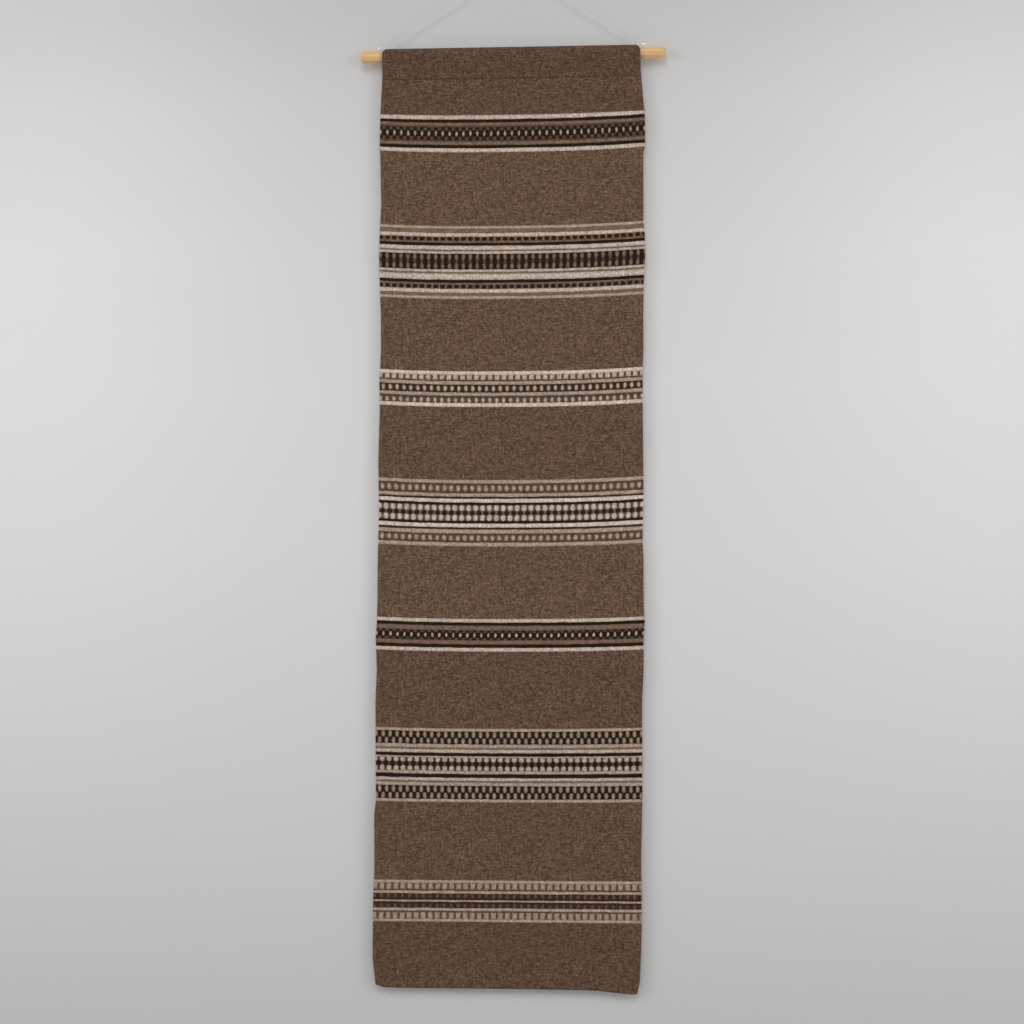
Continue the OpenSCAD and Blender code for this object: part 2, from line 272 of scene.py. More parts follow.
def woven_sheet(name, path, heights, columns, outer, inner, front, back, inset=None, stray=0):
    """A closed sheet of weaving. path is the cloth's middle line as (y, z), with its outside
    on the right-hand side going along it; heights are the rows' heights for cloth_point;
    columns are u across the cloth; outer and inner are half the thickness to each side, and
    front and back the relief of the weave on it, rows by columns. stray moves its points up
    or down where a row of weft wanders."""
    path = np.array(path, float)
    rows, count = len(path), len(columns)
    step = np.gradient(path, axis=0)
    step /= np.linalg.norm(step, axis=1)[:, None]
    normal = np.stack([step[:, 1], -step[:, 0]], 1)
    across = np.array(columns)
    edge = np.minimum(across, cloth_wide - across)
    rim = np.sqrt(np.clip(1 - (1 - np.clip(edge / 0.0018, 0, 1)) ** 2, 0, 1))
    x, z = cloth_point(across[None, :], np.array(heights)[:, None])
    if inset is not None:
        centre = (x[:, :1] + x[:, -1:]) / 2
        half = (x[:, -1:] - x[:, :1]) / 2
        x = centre + (x - centre) * (half - np.array(inset)[:, None]) / half
    # The weft turns round the outermost warp in small loops, two rows out and two rows in
    loops = 0.0003 * np.where(np.arange(rows) // 2 % 2, 1, -1)[:, None] * (edge < 0.0015)
    x = x + loops * np.where(across < cloth_wide / 2, -1, 1)
    shift = z - np.array(heights)[:, None] + stray
    y = path[:, 0][:, None]
    level = path[:, 1][:, None] + shift
    lift = (outer + front) * rim
    face = np.stack([x, y + normal[:, :1] * lift, level + normal[:, 1:] * lift], 2)
    sink = ((inner + back) * rim)[:, ::2]
    rear = np.stack([x[:, ::2], y - normal[:, :1] * sink, level[:, ::2] - normal[:, 1:] * sink], 2)
    half_count = (count + 1) // 2
    fronts = np.arange(rows * count).reshape(rows, count)
    backs = np.zeros((rows, half_count), int)
    backs[:, 0], backs[:, -1] = fronts[:, 0], fronts[:, -1]
    backs[:, 1:-1] = rows * count + np.arange(rows * (half_count - 2)).reshape(rows, -1)
    points = np.concatenate([face.reshape(-1, 3), rear[:, 1:-1].reshape(-1, 3)])
    # The front has two columns to each of the back's, so triangles join them at both ends
    quads = []
    for grid, order in ((fronts, 1), (backs, -1)):
        around = [grid[:-1, :-1], grid[1:, :-1], grid[1:, 1:], grid[:-1, 1:]]
        quads.append(np.stack(around[:1] + around[1:][::order], 2).reshape(-1, 4))
    quads = np.concatenate(quads)
    ends = []
    for front_end, back_end, turned in ((fronts[0], backs[0], False),
        (fronts[-1], backs[-1], True)):
        left, middle, right = front_end[:-2:2], front_end[1:-1:2], front_end[2::2]
        tri = np.concatenate([
            np.stack([left, middle, back_end[:-1]], 1),
            np.stack([middle, right, back_end[1:]], 1),
            np.stack([middle, back_end[1:], back_end[:-1]], 1),
        ])
        tri = tri[(tri[:, 0] != tri[:, 1]) & (tri[:, 1] != tri[:, 2]) & (tri[:, 0] != tri[:, 2])]
        ends.append(tri[:, ::-1] if turned else tri)
    tris = np.concatenate(ends)
    mesh = bpy.data.meshes.new(name)
    mesh.vertices.add(len(points))
    mesh.vertices.foreach_set("co", points.astype(np.float32).ravel())
    corners = np.concatenate([quads.ravel(), tris.ravel()])
    mesh.loops.add(len(corners))
    mesh.loops.foreach_set("vertex_index", corners.astype(np.int32))
    sizes = np.concatenate([np.full(len(quads), 4), np.full(len(tris), 3)])
    mesh.polygons.add(len(sizes))
    starts = np.concatenate([[0], np.cumsum(sizes)[:-1]])
    mesh.polygons.foreach_set("loop_start", starts.astype(np.int32))
    mesh.update(calc_edges=True)
    mesh.shade_smooth()
    mesh.set_sharp_from_angle(angle=math.radians(60))
    down = np.concatenate([[0], np.cumsum(np.linalg.norm(np.diff(path, axis=0), axis=1))])
    # Each point keeps its place on the cloth in millimetres, across and down, and its relief; the
    # wool materials paint shade from that relief
    place = np.zeros((len(points), 3), np.float32)
    grid = np.stack(np.broadcast_arrays(across[None, :] * 1000, down[:, None] * 1000,
        front * 1000), 2)
    place[: rows * count] = grid.reshape(-1, 3)
    grid = np.stack(np.broadcast_arrays(across[None, ::2] * 1000, down[:, None] * 1000,
        back[:, ::2] * 1000), 2)
    place[rows * count :] = grid[:, 1:-1].reshape(-1, 3)
    mesh.attributes.new("thread_place", "FLOAT_VECTOR", "POINT").data.foreach_set(
        "vector", place.ravel())
    made = bpy.data.objects.new(name, mesh)
    scene.collection.objects.link(made)
    return made, (rows - 1) * (count - 1), (rows - 1) * (half_count - 1), rows - 1


def even_columns(step):
    """Columns across the cloth, close together in its two rounded selvedges."""
    rim = [0, 0.00025, 0.0008, 0.0016]
    count = 2 * round((cloth_wide - 2 * rim[-1]) / step / 2)
    inside = np.linspace(rim[-1], cloth_wide - rim[-1], count + 1)
    return np.concatenate([rim[:-1], inside, cloth_wide - np.array(rim[:-1][::-1])])


def brick_beads(rows, count, tall, seed):
    """The relief of plain weft-faced cloth: a crest on every second column, and on it beads
    two rows long that are shifted by a row from one crest to the next."""
    rng = np.random.default_rng(seed)
    r, c = np.arange(rows)[:, None], np.arange(count)[None, :]
    crest = (c % 2).astype(float)
    bead = np.where((r + c // 2) % 2, 1.0, 0.45)
    uneven = 0.75 + 0.5 * rng.random((rows, count))
    return tall * crest * bead * uneven


# Undyed handspun wool: mottled browns with paler and darker hairs, dull and slightly fuzzy.
# The flecks are 2 mm and the streaks of one spinning 20 mm and more along the weft. Shade is
# painted into its colour: darker in the hollows of the weave, lighter on its crests.
ground_wool, tree, skin = new_material("handspun_brown_wool")
where = add(tree, "ShaderNodeTexCoord").outputs["Object"]
place = add(tree, "ShaderNodeAttribute", attribute_name="thread_place")
# The plain piece's flat ground colour
lot = add(tree, "ShaderNodeAttribute", attribute_name="piece_ground_tone")
part = add(tree, "ShaderNodeSeparateXYZ", {0: place.outputs["Vector"]})
patch = add(tree, "ShaderNodeMapping", {"Vector": place.outputs["Vector"],
    "Scale": (0.2, 0.36, 1.0)})
fleck = add(tree, "ShaderNodeTexNoise", {"Vector": patch.outputs["Vector"], "Scale": 1.0,
    "Detail": 2.0, "Roughness": 0.7})
laid = add(tree, "ShaderNodeMapping", {"Vector": place.outputs["Vector"],
    "Scale": (0.36, 0.44, 1.0)})
bead = add(tree, "ShaderNodeTexVoronoi", {"Vector": laid.outputs["Vector"], "Scale": 1.0,
    "Smoothness": 0.5, "Randomness": 0.5}, voronoi_dimensions="2D", feature="SMOOTH_F1")
bead_tone = add(tree, "ShaderNodeSeparateColor", {0: bead.outputs["Color"]})
stand = add(tree, "ShaderNodeMapping", {"Vector": place.outputs["Vector"],
    "Scale": (0.42, 0.07, 1.0)})
rise = add(tree, "ShaderNodeTexNoise", {"Vector": stand.outputs["Vector"], "Scale": 1.0,
    "Detail": 1.0})
by_rise = add(tree, "ShaderNodeMapRange", {"Value": rise.outputs["Fac"], "From Min": 0.3,
    "From Max": 0.7, "To Min": 0.86, "To Max": 1.14})
pull = add(tree, "ShaderNodeMapping", {"Vector": place.outputs["Vector"],
    "Scale": (0.055, 0.62, 1.0)})
streak = add(tree, "ShaderNodeTexNoise", {"Vector": pull.outputs["Vector"], "Scale": 1.0,
    "Detail": 3.0, "Roughness": 0.6})
hair = add(tree, "ShaderNodeTexNoise", {"Vector": place.outputs["Vector"], "Scale": 2.4,
    "Detail": 2.0})
by_fleck = add(tree, "ShaderNodeMapRange", {"Value": fleck.outputs["Fac"], "From Min": 0.3,
    "From Max": 0.7, "To Min": 0.66, "To Max": 1.4})
by_bead = add(tree, "ShaderNodeMapRange", {"Value": bead_tone.outputs["Red"], "To Min": 0.62,
    "To Max": 1.4})
by_streak = add(tree, "ShaderNodeMapRange", {"Value": streak.outputs["Fac"], "From Min": 0.3,
    "From Max": 0.7, "To Min": 0.78, "To Max": 1.22})
by_hair = add(tree, "ShaderNodeMapRange", {"Value": hair.outputs["Fac"], "From Min": 0.3,
    "From Max": 0.7, "To Min": 0.85, "To Max": 1.15})
# Painted shade: darker in the hollows between beads and in the seam's groove, lighter on the
# crests, from the relief depth kept in thread_place
painted_shade_by_depth = add(tree, "ShaderNodeMapRange", {"Value": part.outputs["Z"], "From Min": 0.0,
    "From Max": 0.35, "To Min": 0.82, "To Max": 1.19}, clamp=False)
both = by_fleck.outputs["Result"]
for factor in (by_streak, by_bead, by_hair, painted_shade_by_depth, by_rise):
    both = add(tree, "ShaderNodeMath", {0: both, 1: factor.outputs["Result"]},
        operation="MULTIPLY").outputs[0]
# The paler hairs are greyer and the darker ones redder
channels = [add(tree, "ShaderNodeMath", {0: both, 1: power}, operation="POWER").outputs[0]
    for power in (0.93, 0.99, 1.08)]
hue = add(tree, "ShaderNodeCombineXYZ", dict(enumerate(channels)))
tone = add(tree, "ShaderNodeVectorMath", {0: lot.outputs["Vector"], 1: hue.outputs[0]},
    operation="MULTIPLY")
fuzz = add(tree, "ShaderNodeBump", {"Height": hair.outputs["Fac"], "Distance": 0.0004,
    "Strength": 0.6})
tree.links.new(tone.outputs["Vector"], skin.inputs["Base Color"])
tree.links.new(fuzz.outputs["Normal"], skin.inputs["Normal"])
skin.inputs["Roughness"].default_value = 0.95
skin.inputs["Specular IOR Level"].default_value = 0.1
skin.inputs["Sheen Weight"].default_value = 0.06
skin.inputs["Sheen Roughness"].default_value = 0.6


def set_ground_tone(piece, code):
    """One flat ground colour for the whole of a plain piece."""
    lots = piece.data.attributes.new("piece_ground_tone", "FLOAT_COLOR", "FACE")
    lots.data.foreach_set("color", np.tile(from_hex(code), (len(piece.data.polygons), 1)).ravel())
    piece.data.materials.append(ground_wool)


# ---- Sleeve -------------------------------------------------------------------------------
# The top of the cloth, taken over the dowel from the front, down its back and turned under
# for 9 mm below the stitch line. Its upper corners are rounded by the pull of the weft.
low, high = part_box("dowel")
axis_z = (low.z + high.z) / 2
turn_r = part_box("sleeve")[1].y - cloth_half
back_y = 2 * cloth_half
turn_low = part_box("sleeve_turn_under")[0].z


def touch(y, z):
    """The angle at which a straight line from below meets the circle round the dowel."""
    far = math.hypot(y, z - axis_z)
    return math.atan2(z - axis_z, y) + math.acos(turn_r / far)


behind, ahead = touch(back_y, seam_z), math.pi - touch(0.0, seam_z)
route = [(back_y, turn_low), (back_y, seam_z)]
for angle in np.linspace(behind, ahead, 49):
    route.append((turn_r * math.cos(angle), axis_z + turn_r * math.sin(angle)))
route.append((0.0, seam_z))
route = np.array(route)
run = np.concatenate([[0], np.cumsum(np.linalg.norm(np.diff(route, axis=0), axis=1))])
rows = round(run[-1] / row_step)
steps = np.linspace(0, run[-1], rows + 1)
path = np.stack([np.interp(steps, run, route[:, i]) for i in (0, 1)], 1)
top = path[:, 1].max() + cloth_half
corner = 0.007
rise = np.clip(path[:, 1] + cloth_half - (top - corner), 0, corner)
rounded = corner - np.sqrt(corner**2 - rise**2)
columns = even_columns(rib)
relief = brick_beads(rows + 1, len(columns), 0.00034, 1)
sleeve, *_ = woven_sheet("sleeve_cloth", path, path[:, 1], columns, cloth_half, cloth_half, relief,
    0.5 * relief, rounded)
set_ground_tone(sleeve, "#5B4637")
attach(sleeve, "cloth_1")
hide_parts("sleeve", "sleeve_turn_under")


# ---- Plain fields -------------------------------------------------------------------------
# Eight stretches of the brown ground between the bands. Six of them fold across their
# middle, so each of these bends between the panel above it and the panel below.
# The plain pieces' ground colours: the middle fields a little lighter, the top and bottom fields
# darker, as is the sleeve
field_ground_tones = ["#5D4839", "#634E3E", "#634E3E", "#614C3C", "#644F3F", "#5F4A3B", "#604B3C",
    "#5C4738"]


def plain_rows(top, bottom):
    return np.linspace(top, bottom, round((top - bottom) / row_step) + 1)


for k in range(1, 8):
    upper, lower = ("field_1", "field_1") if k == 1 else (f"field_{k}_upper", f"field_{k}_lower")
    top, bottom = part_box(upper)[1].z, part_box(lower)[0].z
    heights = plain_rows(top, bottom)
    path = np.stack([np.zeros(len(heights)), heights], 1)
    relief = brick_beads(len(heights), len(columns), 0.00034, 10 + k)
    if k == 1:
        # The seam's stitches draw the rows below it into a faint groove, which is also painted
        # darker as shade through its relief
        relief[2:4] -= 0.0004 * np.random.default_rng(9).random((2, len(columns))) ** 0.5
    field, *_ = woven_sheet(f"field_{k}_cloth", path, heights, columns, cloth_half, cloth_half,
        relief, brick_beads(len(heights), len(columns), 0.0003, 30 + k))
    set_ground_tone(field, field_ground_tones[k - 1])
    if k == 1:
        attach(field, "cloth_1")
        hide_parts("field_1")
    else:
        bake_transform(field)
        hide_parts(upper, lower)


# ---- Last field and hem -------------------------------------------------------------------
# The lowest field runs on under the bottom edge and is turned up for 26 mm at the back.
top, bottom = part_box("field_8")[1].z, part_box("field_8")[0].z
hem_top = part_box("hem_fold")[1].z
turn = 0.0015
route = [(0.0, top)] + [
    (turn - turn * math.cos(bend), bottom + cloth_half - turn * math.sin(bend))
    for bend in np.linspace(0, math.pi, 13)
] + [(2 * turn, hem_top)]
route = np.array(route)
run = np.concatenate([[0], np.cumsum(np.linalg.norm(np.diff(route, axis=0), axis=1))])
rows = round(run[-1] / row_step)
steps = np.linspace(0, run[-1], rows + 1)
path = np.stack([np.interp(steps, run, route[:, i]) for i in (0, 1)], 1)
relief = brick_beads(rows + 1, len(columns), 0.00034, 18)
behind = path[:, 0] > turn
inside = np.where(behind | (path[:, 1] < bottom + 0.004), 0.0, 1.0)[:, None]
field, *_ = woven_sheet("field_8_cloth", path, path[:, 1], columns, cloth_half, 0.00145, relief,
    brick_beads(rows + 1, len(columns), 0.0003, 38) * inside, np.where(behind, 0.001, 0.0))
set_ground_tone(field, field_ground_tones[7])
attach(field, "cloth_7")
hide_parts("field_8", "hem_fold")


# ---- Patterned bands ----------------------------------------------------------------------
# Between the fields the weft changes to dyed wool, in rows of twining that stand a little
# proud. Each pattern repeats every 10 mm, four warps, and is written as a draft: the row's
# height in millimetres and its yarn, then the second yarn, the figure it makes and where in
# the repeat that stands.
yarns = {
    "cream": "#D8C6B7", "ecru": "#CAB7A7", "pale": "#C0AC9C", "sand": "#AF9B8A",
    "beige": "#A48F7E", "fawn": "#937E6D", "taupe": "#7D6656", "drab": "#765F50",
    "umber": "#5D483A", "brown": "#3E2B1F", "black": "#291B10",
}
# Each figure: half its width in repeats, half its height and its centre in row heights
figures = {
    "oval": (0.25, 0.5, 0.5), "slim": (0.17, 0.44, 0.5), "dot": (0.3, 0.48, 0.5),
    "pea": (0.3, 0.32, 0.5), "bead": (0.25, 0.36, 0.5), "wide": (0.4, 0.46, 0.5),
    "bar": (0.2, 0.62, 0.55), "globe": (0.36, 0.56, 0.5), "bean": (0.25, 0.56, 0.5),
    "lobe_up": (0.37, 0.66, 0.36), "lobe_down": (0.37, 0.66, 0.64),
    "seed": (0.16, 0.45, 0.5), "knot": (0.38, 0.62, 0.5), "high": (0.24, 0.36, 0.36),
    "low": (0.24, 0.36, 0.64),
}
drafts = [
    [(1.1, "drab"), (5.4, "ecru"), (4, "black"), (4.4, "taupe"), (1.5, "umber"),
        (4.4, "umber", "black", "dot", 0.5), (7.8, "black", "beige", "slim", 0.5),
        (5, "umber", "black", "dot", 0.5), (1.2, "umber"), (4.6, "taupe"), (4, "black"),
        (5.2, "ecru")],
    [(3.8, "sand"), (4.8, "taupe"), (4.6, "ecru"), (5.6, "taupe", "black", "wide", 0.5),
        (2, "taupe"), (3.6, "black"), (5, "ecru"), (1.6, "taupe"), (3.3, "pale"),
        (7.7, "black", "drab", "bean", 0.5), (3.6, "umber", "black", "knot", 0),
        (7.7, "black", "drab", "bean", 0.5), (3.3, "pale"), (1.8, "taupe"), (7.6, "ecru"),
        (3.6, "black"), (2, "taupe"), (5.6, "taupe", "black", "wide", 0.5), (4.8, "ecru"),
        (3.6, "taupe"), (4, "sand")],
    [(5, "cream"), (6.9, "pale", "umber", "bar", 0), (1.8, "umber"), (5, "sand"),
        (10.6, "brown", "sand", "bead", 0), (4.8, "sand"), (2.4, "umber"),
        (7.4, "umber", "sand", "oval", 0.5), (5.6, "cream")],
    [(4.8, "sand"), (12.6, "umber", "beige", "pea", 0), (4.6, "sand"), (2.6, "brown"),
        (5, "cream"), (3.2, "black"), (8, "umber", "pale", "globe", 0.5),
        (4.8, "drab", "black", "knot", 0), (8, "umber", "pale", "globe", 0.5),
        (3.2, "black"), (5.2, "cream"), (2.6, "brown"), (5.4, "sand"),
        (11.4, "umber", "beige", "pea", 0), (5.2, "sand")],
    [(5, "ecru"), (4.2, "black"), (6.4, "taupe"), (3.2, "umber", "black", "dot", 0),
        (6.8, "black", "sand", "slim", 0), (3.2, "umber", "black", "dot", 0),
        (5.6, "taupe"), (4.4, "black"), (5.2, "ecru")],
    [(4, "sand"), (8.4, "black", "fawn", "bean", 0), (8, "black", "fawn", "bean", 0.5),
        (4.8, "sand"), (2, "taupe"), (4.6, "pale"), (4.2, "black"), (2.2, "sand"),
        (6, "black", "sand", "lobe_up", 0.85), (4, "black", "umber", "seed", 0.85),
        (6.6, "black", "sand", "lobe_down", 0.85), (4.2, "sand"), (4.8, "black"), (4, "pale"),
        (2, "taupe"), (4.6, "sand"), (8.8, "black", "fawn", "bean", 0.45),
        (8.2, "black", "fawn", "bean", 0.95), (4, "sand")],
    [(4, "sand"), (8.6, "beige", "umber", "bar", 0), (1.8, "umber"), (4, "sand"),
        (8.6, "brown", "umber", "high", 0.5), (2.6, "sand"), (8.2, "brown", "umber", "low", 0.5),
        (4, "sand"), (2, "umber"), (9, "beige", "umber", "bar", 0), (3.8, "sand")],
]
# Where each band's first repeat starts from the left selvedge, in repeats
first_repeat = [0.62, 0.68, 0.62, 0.57, 0.1, 0.12, 0.7]

# Dyed two-ply wool: the yarn's twist shows as short slanting lines, its surface is dull and
# hairy, and each figure's edge wavers by part of a thread. Shade is painted into its colour:
# each figure lighter in its middle and darker at its edge, and each row darker in its grooves.
band_wool, tree, skin = new_material("dyed_two_ply_wool")
place = add(tree, "ShaderNodeAttribute", attribute_name="thread_place")
centre = add(tree, "ShaderNodeAttribute", attribute_name="figure_centre")
half_size = add(tree, "ShaderNodeAttribute", attribute_name="figure_half")
first = add(tree, "ShaderNodeAttribute", attribute_name="first_yarn")
second = add(tree, "ShaderNodeAttribute", attribute_name="second_yarn")
at = add(tree, "ShaderNodeSeparateXYZ", {0: place.outputs["Vector"]})
waver = add(tree, "ShaderNodeTexNoise", {"Vector": place.outputs["Vector"], "Scale": 0.55,
    "Detail": 1.0})
waves = add(tree, "ShaderNodeVectorMath", {0: waver.outputs["Color"], 1: (2.2, 1.8, 0),
    2: (-1.1, -0.9, 0)}, operation="MULTIPLY_ADD")
strayed = add(tree, "ShaderNodeVectorMath", {0: place.outputs["Vector"], 1: waves.outputs[0]},
    operation="ADD")
# The figures repeat every 10 mm along a row, and are not repeated down the cloth
from_centre = add(tree, "ShaderNodeVectorMath", {0: strayed.outputs[0],
    1: centre.outputs["Vector"]}, operation="SUBTRACT")
nearest = add(tree, "ShaderNodeVectorMath", {0: from_centre.outputs[0], 1: (5, 1000, 1000),
    2: (-5, -1000, -1000)}, operation="WRAP")
fit = add(tree, "ShaderNodeVectorMath", {0: nearest.outputs[0], 1: half_size.outputs["Vector"]},
    operation="DIVIDE")
reach = add(tree, "ShaderNodeVectorMath", {0: fit.outputs[0], 1: fit.outputs[0]},
    operation="DOT_PRODUCT").outputs["Value"]
mask = add(tree, "ShaderNodeMapRange", {"Value": reach, "From Min": 1.5, "From Max": 0.55})
# Painted shade: the figure's yarn is lighter in its middle and darker towards its edge, as light
# falls on a rounded bead
figure_painted_shade = add(tree, "ShaderNodeMapRange", {"Value": reach, "To Min": 1.12, "To Max": 0.72})
figure_yarn_painted_round = add(tree, "ShaderNodeVectorMath", {0: second.outputs["Color"],
    1: figure_painted_shade.outputs["Result"]}, operation="MULTIPLY")
picked = add(tree, "ShaderNodeMix", {"Factor": mask.outputs["Result"],
    "A": first.outputs["Color"], "B": figure_yarn_painted_round.outputs["Vector"]}, data_type="RGBA")
fleck = add(tree, "ShaderNodeTexNoise", {"Vector": place.outputs["Vector"], "Scale": 0.5,
    "Detail": 2.0, "Roughness": 0.6})
bead = add(tree, "ShaderNodeTexVoronoi", {"Vector": place.outputs["Vector"], "Scale": 0.48,
    "Smoothness": 0.5}, voronoi_dimensions="2D", feature="SMOOTH_F1")
bead_tone = add(tree, "ShaderNodeSeparateColor", {0: bead.outputs["Color"]})
by_bead = add(tree, "ShaderNodeMapRange", {"Value": bead_tone.outputs["Red"], "To Min": 0.7,
    "To Max": 1.26})
slant = add(tree, "ShaderNodeMapping", {"Vector": place.outputs["Vector"],
    "Rotation": (0, 0, 0.6), "Scale": (0.6, 2.6, 1.0)})
twist = add(tree, "ShaderNodeTexNoise", {"Vector": slant.outputs["Vector"], "Scale": 1.0,
    "Detail": 2.0})
by_fleck = add(tree, "ShaderNodeMapRange", {"Value": fleck.outputs["Fac"], "From Min": 0.3,
    "From Max": 0.7, "To Min": 0.86, "To Max": 1.14})
by_twist = add(tree, "ShaderNodeMapRange", {"Value": twist.outputs["Fac"], "From Min": 0.3,
    "From Max": 0.7, "To Min": 0.72, "To Max": 1.24})
# Painted shade: darker where the relief is low, in the grooves between rows and where a warp
# pinches a row, from the relief depth kept in thread_place
painted_shade_by_depth = add(tree, "ShaderNodeMapRange", {"Value": at.outputs["Z"], "From Min": 0.28,
    "From Max": 0.62, "To Min": 0.6, "To Max": 1.02})
tone = picked.outputs["Result"]
for factor in (by_fleck, by_twist, painted_shade_by_depth, by_bead):
    tone = add(tree, "ShaderNodeVectorMath", {0: tone, 1: factor.outputs["Result"]},
        operation="MULTIPLY").outputs[0]
ply = add(tree, "ShaderNodeBump", {"Height": twist.outputs["Fac"], "Distance": 0.0005,
    "Strength": 0.7})
tree.links.new(tone, skin.inputs["Base Color"])
tree.links.new(ply.outputs["Normal"], skin.inputs["Normal"])
skin.inputs["Roughness"].default_value = 0.95
skin.inputs["Specular IOR Level"].default_value = 0.1
skin.inputs["Sheen Weight"].default_value = 0.04
skin.inputs["Sheen Roughness"].default_value = 0.5

thread_step = 0.00083
band_columns = even_columns(thread_step)
for k, draft in enumerate(drafts, 1):
    low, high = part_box(f"band_{k}")
    scale = (high.z - low.z) / sum(row[0] for row in draft)
    # For each line of weft, in millimetres and repeats: its row's top and height, the
    # figure's place along it, half width, half height and middle, and the two yarns
    heights, facts, level = [high.z], [], 0.0
    for row in draft:
        tall = row[0] * scale
        threads = max(3, round(tall / 0.001))
        second_yarn, figure, start = row[2:] if len(row) > 2 else (row[1], "oval", 0)
        for i in range(threads):
            heights.append(high.z - level - tall * (i + 1) / threads)
            facts.append((level * 1000, tall * 1000, first_repeat[k - 1] + start,
                *figures[figure], *from_hex(yarns[row[1]]), *from_hex(yarns[second_yarn])))
        level += tall
    heights, facts = np.array(heights), np.array(facts)
    path = np.stack([np.zeros(len(heights)), heights], 1)
    # Each row is a round cord of weft, pinched where a warp crosses it, and a figure's yarn
    # bulges out of it.
    line_facts = np.concatenate([facts, facts[-1:]])
    top, tall, phase, half_wide, half_tall, middle = line_facts[:, :6, None].transpose(1, 0, 2)
    figured = (np.abs(line_facts[:, 6:9] - line_facts[:, 10:13]).sum(1) > 0)[:, None]
    down = (high.z - heights)[:, None] * 1000
    repeats = band_columns[None, :] * 100
    inside_row = (down - top) / tall
    round_row = np.clip(np.sin(np.pi * np.clip(inside_row, 0, 1)), 0, 1) ** 0.7
    away = ((repeats - phase + 20.5) % 1 - 0.5) / half_wide
    off = (inside_row - middle) / half_tall
    bulge = np.clip(1 - away**2 - off**2, 0, 1) ** 0.5
    rows, count = len(heights), len(band_columns)
    pair = np.arange(rows)[:, None] // 2
    pinch = 0.72 + 0.28 * np.abs(np.sin(np.pi * (4 * repeats + 0.5 * pair)))
    relief = 0.0003 + 0.00032 * round_row * pinch + 0.00022 * bulge * figured
    rng = np.random.default_rng(60 + k)
    relief = relief * (0.9 + 0.2 * rng.random((rows, count)))
    # Threads wander slowly along a row, by less at the band's two edges
    run_of = 17
    stray = rng.normal(size=(rows, count + run_of - 1))
    stray = sum(stray[:, i : i + count] for i in range(run_of)) / run_of**0.5
    stray = sum(np.roll(stray, i, 0) for i in (-1, 0, 1)) / 3**0.5
    stray *= 0.00016 * np.minimum(np.minimum(down, down[-1] - down) / 3, 1)
    band, fronts, rears, lines = woven_sheet(f"band_{k}_cloth", path, heights, band_columns,
        cloth_half, cloth_half, relief, 0.8 * relief, stray=stray)
    # The back shows the two yarns the other way round
    line_of = np.concatenate([np.repeat(np.arange(lines), fronts // lines),
        np.repeat(np.arange(lines), rears // lines)])
    ends = len(band.data.polygons) - len(line_of)
    line_of = np.concatenate([line_of, np.zeros(ends // 2, int),
        np.full(ends - ends // 2, lines - 1)])
    is_back = np.zeros((len(line_of), 1), bool)
    is_back[fronts : fronts + rears] = True
    top, tall, phase, half_wide, half_tall, middle = facts[line_of, :6].T
    front_yarn, back_yarn = facts[line_of, 6:10], facts[line_of, 10:14]
    for name, kind, key, values in (
        ("figure_centre", "FLOAT_VECTOR", "vector",
            np.stack([10 * phase, top + middle * tall, 0 * top], 1)),
        ("figure_half", "FLOAT_VECTOR", "vector",
            np.stack([10 * half_wide, half_tall * tall, 0 * top + 1000], 1)),
        ("first_yarn", "FLOAT_COLOR", "color", np.where(is_back, back_yarn, front_yarn)),
        ("second_yarn", "FLOAT_COLOR", "color", np.where(is_back, front_yarn, back_yarn)),
    ):
        values = np.ascontiguousarray(values, np.float32)
        band.data.attributes.new(name, kind, "FACE").data.foreach_set(key, values.ravel())
    band.data.materials.append(band_wool)
    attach(band, f"cloth_{k}")
    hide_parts(f"band_{k}", f"warp_{k}")


# ---- Stitches -----------------------------------------------------------------------------
# Running stitches of dark cotton thread close the sleeve under the dowel and hold the hem
# at the back: each is a short arch of thread that dips into the cloth at both ends.

# Mercerised cotton sewing thread: dark brown, tightly twisted, with a slight shine.
thread, tree, skin = new_material("twisted_cotton_thread")
where = add(tree, "ShaderNodeTexCoord").outputs["Object"]
lay = add(tree, "ShaderNodeMapping", {"Vector": where, "Rotation": (0, 0.7, 0)})
twist = add(tree, "ShaderNodeTexWave", {"Vector": lay.outputs["Vector"], "Scale": 600.0})
tint = add(tree, "ShaderNodeMix", {"Factor": twist.outputs["Fac"], "A": from_hex("#2C2019"),
    "B": from_hex("#4A3A2E")}, data_type="RGBA")
ridge = add(tree, "ShaderNodeBump", {"Height": twist.outputs["Fac"], "Distance": 0.0002,
    "Strength": 0.5})
tree.links.new(tint.outputs["Result"], skin.inputs["Base Color"])
tree.links.new(ridge.outputs["Normal"], skin.inputs["Normal"])
skin.inputs["Roughness"].default_value = 0.6


def socket(tree, name, kind, default):
    made = tree.interface.new_socket(name, in_out="INPUT", socket_type=kind)
    made.default_value = default
    return made.identifier


stitching = bpy.data.node_groups.new("running_stitches", "GeometryNodeTree")
inputs = {
    "count": socket(stitching, "Stitches", "NodeSocketInt", 30),
    "pitch": socket(stitching, "Pitch", "NodeSocketFloat", 0.012),
    "length": socket(stitching, "Length", "NodeSocketFloat", 0.005),
    "thick": socket(stitching, "Thread thickness", "NodeSocketFloat", 0.0008),
    "sway": socket(stitching, "Unevenness", "NodeSocketFloat", 0.06),
}
stitching.interface.new_socket("Geometry", in_out="OUTPUT", socket_type="NodeSocketGeometry")
given = stitching.nodes.new("NodeGroupInput")
result = stitching.nodes.new("NodeGroupOutput")
step = add(stitching, "ShaderNodeCombineXYZ", {"X": given.outputs["Pitch"]})
points = add(stitching, "GeometryNodeMeshLine", {"Count": given.outputs["Stitches"],
    "Offset": step.outputs[0]})
half = add(stitching, "ShaderNodeMath", {0: given.outputs["Length"], 1: 0.5},
    operation="MULTIPLY")
